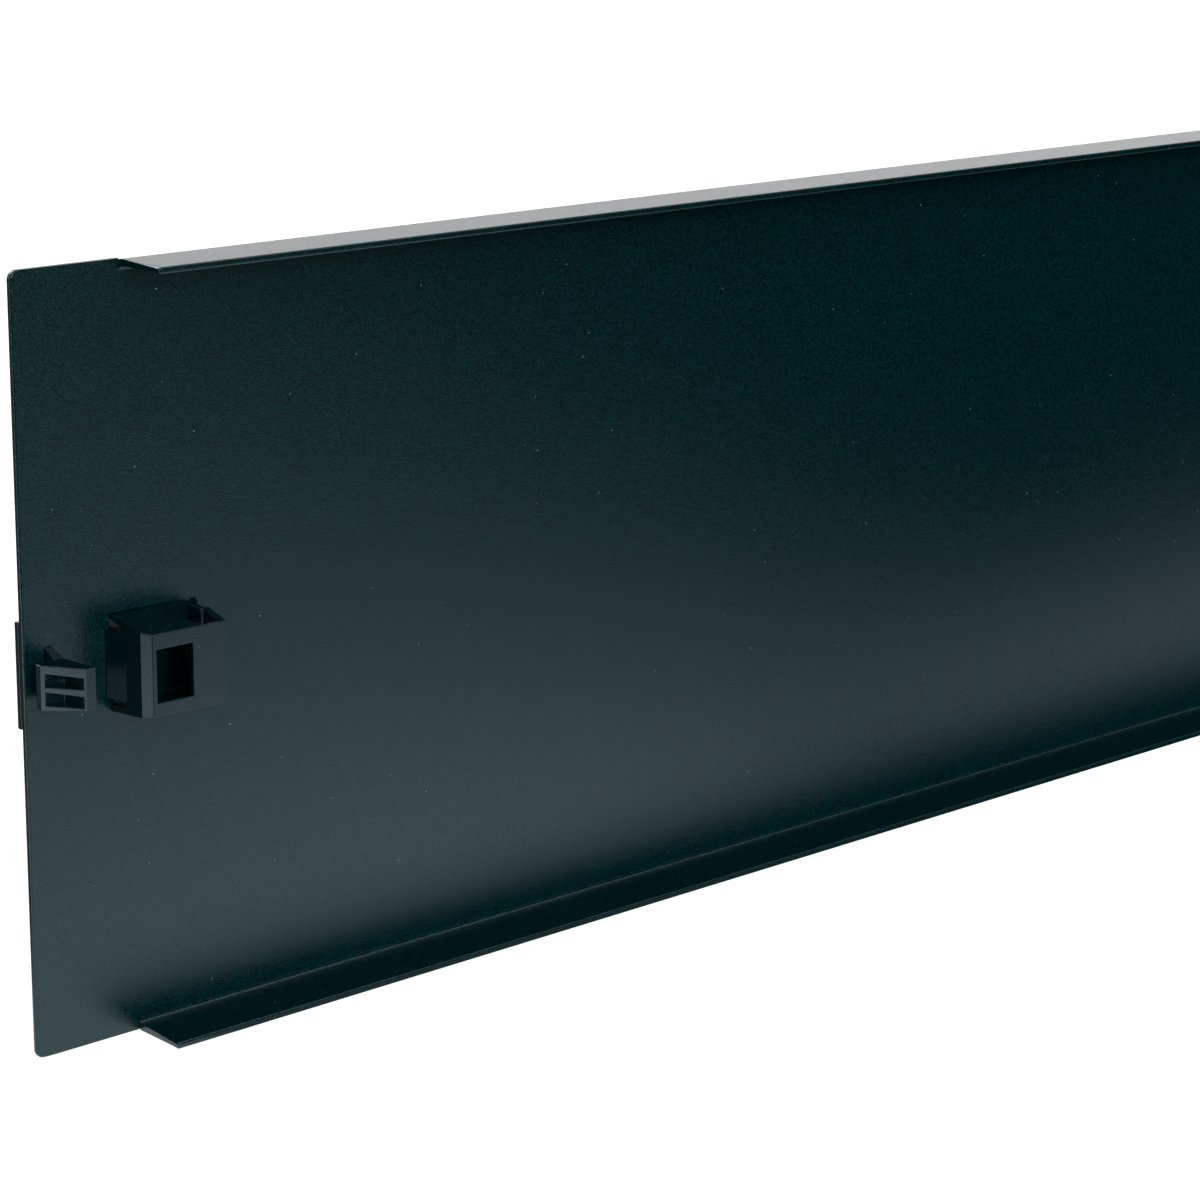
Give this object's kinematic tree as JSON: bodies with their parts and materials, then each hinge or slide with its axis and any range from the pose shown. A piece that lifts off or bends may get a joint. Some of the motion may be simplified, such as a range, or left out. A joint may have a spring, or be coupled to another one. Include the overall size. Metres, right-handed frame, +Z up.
{
  "type": "rack blanking panel",
  "caption": "Flat black steel rack blanking panel with folded top and bottom flanges, bare ears and a moulded snap clip at each end for tool-free mounting.",
  "frame": {"origin": "centre of the bounding box's bottom face, on the plane of the bottom flange's underside", "axes": "+X along the panel towards its right end seen from the front, +Y rearward into the rack, +Z up; the front faces -Y"},
  "size_m": [0.4826, 0.0142, 0.1325],
  "materials": {
    "powder_coat": "fine-textured semi-gloss black powder coat on folded steel sheet",
    "clip_plastic": "satin black moulded plastic"
  },
  "bodies": {
    "root": {"panel": "powder_coat", "clip_right": "clip_plastic", "clip_left": "clip_plastic"}
  },
  "joints": []
}
